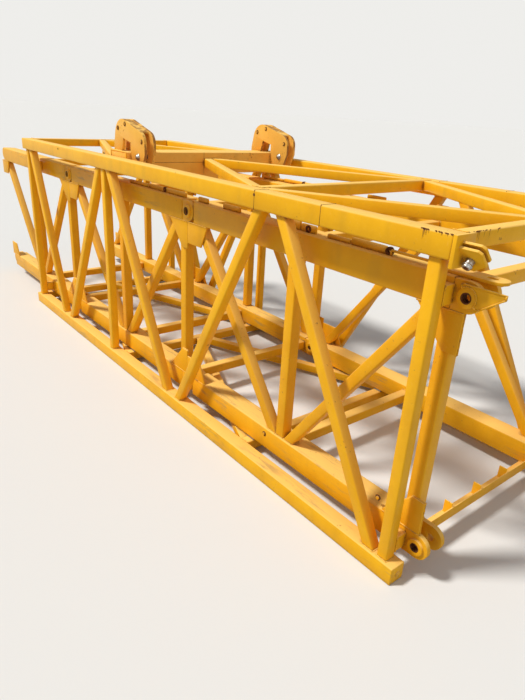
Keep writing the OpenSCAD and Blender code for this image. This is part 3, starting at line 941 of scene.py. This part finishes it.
class CRANE_OT_leg_fittings(bpy.types.Operator):
    """Stands the flat bars, the eyes and the rods on the upper legs"""
    bl_idname = "crane.leg_fittings"
    bl_label = "Fittings on the legs"

    def execute(self, context):
        own = look()
        near_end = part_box("chord_near_top")[1].x
        leg_low, leg_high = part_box("section_1_legs")
        line = leg_high.y - FITTING_INSET
        plates, eyes = bmesh.new(), bmesh.new()
        along, up = Vector((1, 0, 0)), Vector((0, 0, 1))
        for side in (-1, 1):
            for start, end, height in LEG_PLATES:
                lift = leg_high.z + height / 2 - BAR_SUNK
                place = Vector((near_end - (start + end) / 2, side * line, lift))
                size = (height, start - end)
                add_plate(plates, place, -side * up, along, size, BAR_THICKNESS, BAR_THICKNESS)
            start, end = (Vector((near_end - t, side * line, leg_high.z + ROD_LIFT)) for t in LEG_ROD)
            add_tube(plates, [start, end], [ROD_RADIUS] * 2, sides=12)
            for top in (start, end):
                add_tube(plates, [top, top - ROD_LEG_LENGTH * up], [ROD_LEG_RADIUS] * 2, sides=10)
            for behind in LEG_EYES:
                place = Vector((near_end - behind, side * (line - EYE_SHIFT), leg_high.z + EYE_LIFT))
                size, hole = (EYE_SIZE, EYE_SIZE), (0, EYE_HOLE, EYE_HOLE)
                add_plate(eyes, place, along, -side * up, size, EYE_SIZE / 2, EYE_THICKNESS, hole)
        soften(plates, own.plate_round)
        new_piece("leg_top_bars", plates, bpy.data.materials["Mast paint"], "mast")
        mark_worn(eyes)
        new_piece("leg_top_eyes", eyes, bpy.data.materials["Rust"], "mast")
        return {"FINISHED"}


class CRANE_OT_bore_rims(bpy.types.Operator):
    """Puts rusty rims and films in the bores and sets the bolts on the lower legs' sides"""
    bl_idname = "crane.bore_rims"
    bl_label = "Bore rims and leg bolts"

    def execute(self, context):
        own = look()
        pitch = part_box("section_1_legs")[0].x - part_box("section_2_legs")[0].x
        work, heads = bmesh.new(), bmesh.new()
        for mount in frame["record"]["mounts"]:
            if mount["kind"] != "bore":
                continue
            middle, axis = Vector(mount["pos_m"]), Vector(mount["axis"])
            radius, length = (mount["dims"][name] / 1000 for name in ("r_mm", "length_mm"))
            for out in (axis, -axis):
                add_rim(work, middle + out * length / 2, out, radius, RIM_WIDTH)
            add_liner(work, middle, axis, radius, length)
            if mount["name"].startswith("fork"):
                for section in (1, 2):
                    place = middle + axis * length / 2 - Vector((section * pitch, 0, 0))
                    add_rim(work, place, axis, radius - PINNED_RIM_INSET, PINNED_RIM_WIDTH)
        near_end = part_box("chord_near_top")[1].x
        leg_low, leg_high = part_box("section_1_legs")
        for behind, height in LEG_BOLTS:
            for y, side in ((leg_low.y, -1), (leg_high.y, 1)):
                place = Vector((near_end - behind, y, height))
                add_bolt(work, heads, place, Vector((0, side, 0)), own.bolt_radius, BOLT_HEIGHT)
        mark_worn(work)
        mark_worn(heads)
        new_piece("bore_rims_and_washers", work, bpy.data.materials["Rust"], "mast")
        new_piece("leg_bolt_heads", heads, bpy.data.materials["Mast paint"], "mast")
        return {"FINISHED"}


class CRANE_OT_stage(bpy.types.Operator):
    """Sets the camera, the soft light and the plain pale floor"""
    bl_idname = "crane.stage"
    bl_label = "Stage"

    def execute(self, context):
        own = context.scene.crane_stage_look
        context.scene.view_settings.view_transform = "Standard"
        add_camera(own)
        add_lights(own)
        add_floor()
        return {"FINISHED"}


def add_camera(own):
    """The camera that looks from the photo's place."""
    lens = bpy.data.cameras.new("Camera")
    lens.lens = own.focal_length
    lens.clip_end = 1500
    camera = bpy.data.objects.new("Camera", lens)
    bpy.context.scene.collection.objects.link(camera)
    flat = math.cos(own.camera_tilt)
    ahead = Vector((flat * math.cos(own.camera_azimuth), flat * math.sin(own.camera_azimuth),
                    math.sin(own.camera_tilt)))
    right = ahead.cross(Vector((0, 0, 1))).normalized()
    up = right.cross(ahead)
    turned = right * math.cos(own.camera_roll) + up * math.sin(own.camera_roll)
    upward = up * math.cos(own.camera_roll) - right * math.sin(own.camera_roll)
    facing = Matrix((turned, upward, -ahead)).transposed().to_4x4()
    camera.matrix_world = Matrix.Translation(Vector(own.camera_place)) @ facing
    bpy.context.scene.camera = camera


def seen_directly(tree):
    """1 for rays from the camera, and for those that metal and glass send on."""
    path = tree.nodes.new("ShaderNodeLightPath")
    either = math_node(tree, "MAXIMUM", path.outputs["Is Camera Ray"], path.outputs["Is Glossy Ray"])
    return math_node(tree, "MAXIMUM", either, path.outputs["Is Transmission Ray"])


def add_sun(name, strength, width, towards):
    """A sun lamp of some width in degrees that stands in a direction."""
    lamp = bpy.data.lights.new(name, "SUN")
    lamp.energy = strength
    lamp.angle = math.radians(width)
    lamp.color = LAMP_COLOUR
    light = bpy.data.objects.new(name, lamp)
    bpy.context.scene.collection.objects.link(light)
    light.rotation_mode = "QUATERNION"
    light.rotation_quaternion = Vector(towards).to_track_quat("Z", "Y")


def add_lights(own):
    """The two lamps, and a sky that lights softly and shows pale to the camera."""
    add_sun("Key light", own.key_strength, KEY_WIDTH, KEY_TOWARDS)
    add_sun("End light", own.end_strength, END_WIDTH, END_TOWARDS)
    world = bpy.data.worlds.new("Sky")
    bpy.context.scene.world = world
    world.use_nodes = True
    tree = world.node_tree
    tree.nodes.clear()
    sink = tree.nodes.new("ShaderNodeOutputWorld")
    light = add_node(tree, "ShaderNodeBackground", Color=SKY_COLOUR, Strength=own.fill_strength)
    seen = add_node(tree, "ShaderNodeBackground", Color=BACKDROP_COLOUR, Strength=1.0)
    both = tree.nodes.new("ShaderNodeMixShader")
    tree.links.new(seen_directly(tree), both.inputs[0])
    tree.links.new(light.outputs[0], both.inputs[1])
    tree.links.new(seen.outputs[0], both.inputs[2])
    tree.links.new(both.outputs[0], sink.inputs[0])


def add_floor():
    """A wide pale floor just under the object, shown lighter than it bounces light."""
    size, level = 600.0, -0.001
    work = bmesh.new()
    corners = ((-size, -size), (size, -size), (size, size), (-size, size))
    work.faces.new([work.verts.new((x, y, level)) for x, y in corners])
    mesh = bpy.data.meshes.new("Floor")
    work.to_mesh(mesh)
    work.free()
    floor = bpy.data.objects.new("Floor", mesh)
    bpy.context.scene.collection.objects.link(floor)
    made, tree, shader = new_material("Pale floor")
    shader.inputs["Roughness"].default_value = 0.9
    shader.inputs["Specular IOR Level"].default_value = 0.1
    bounced, shown = (0.5, 0.5, 0.5, 1), (0.8, 0.8, 0.79, 1)
    tree.links.new(mix_colours(tree, seen_directly(tree), bounced, shown), shader.inputs["Base Color"])
    mesh.materials.append(made)


class CRANE_PT_panel(bpy.types.Panel):
    """Lists the sizes, the colours and the operators of the crane cage"""
    bl_idname = "CRANE_PT_panel"
    bl_label = "Crane cage"
    bl_space_type = "VIEW_3D"
    bl_region_type = "UI"
    bl_category = "Crane cage"

    def draw(self, context):
        own = context.scene.crane_cage_look
        for name in ("cage_paint", "cage_bleached_and_lit", "mast_paint", "beam_paint", "steel",
                     "rust_deep", "rust_light", "section_round", "plate_round", "bead_radius",
                     "bolt_radius", "rust", "dirt", "scuffs"):
            self.layout.prop(own, name)
        stage = context.scene.crane_stage_look
        for name in ("camera_place", "camera_azimuth", "camera_tilt", "camera_roll",
                     "focal_length", "key_strength", "end_strength", "fill_strength"):
            self.layout.prop(stage, name)
        for operator in OPERATORS:
            self.layout.operator(operator.bl_idname)


OPERATORS = (CRANE_OT_finishes, CRANE_OT_cage, CRANE_OT_beam, CRANE_OT_mast, CRANE_OT_steel,
             CRANE_OT_pin_ends, CRANE_OT_welds, CRANE_OT_seams, CRANE_OT_arm_bolts,
             CRANE_OT_leg_fittings, CRANE_OT_bore_rims, CRANE_OT_stage)
CLASSES = (CageLook, StageLook, *OPERATORS, CRANE_PT_panel)


def register():
    """Makes the properties, the operators and the panel known."""
    for made in CLASSES:
        bpy.utils.register_class(made)
    bpy.types.Scene.crane_cage_look = PointerProperty(type=CageLook)
    bpy.types.Scene.crane_stage_look = PointerProperty(type=StageLook)


def unregister():
    """Takes them out again."""
    del bpy.types.Scene.crane_stage_look
    del bpy.types.Scene.crane_cage_look
    for made in reversed(CLASSES):
        bpy.utils.unregister_class(made)


def main():
    """Makes all pieces and the stage."""
    register()
    for operator in OPERATORS:
        name = operator.bl_idname.split(".")[1]
        if getattr(bpy.ops.crane, name)() != {"FINISHED"}:
            raise RuntimeError(operator.bl_label + " did not finish")


if __name__ == "__main__":
    main()
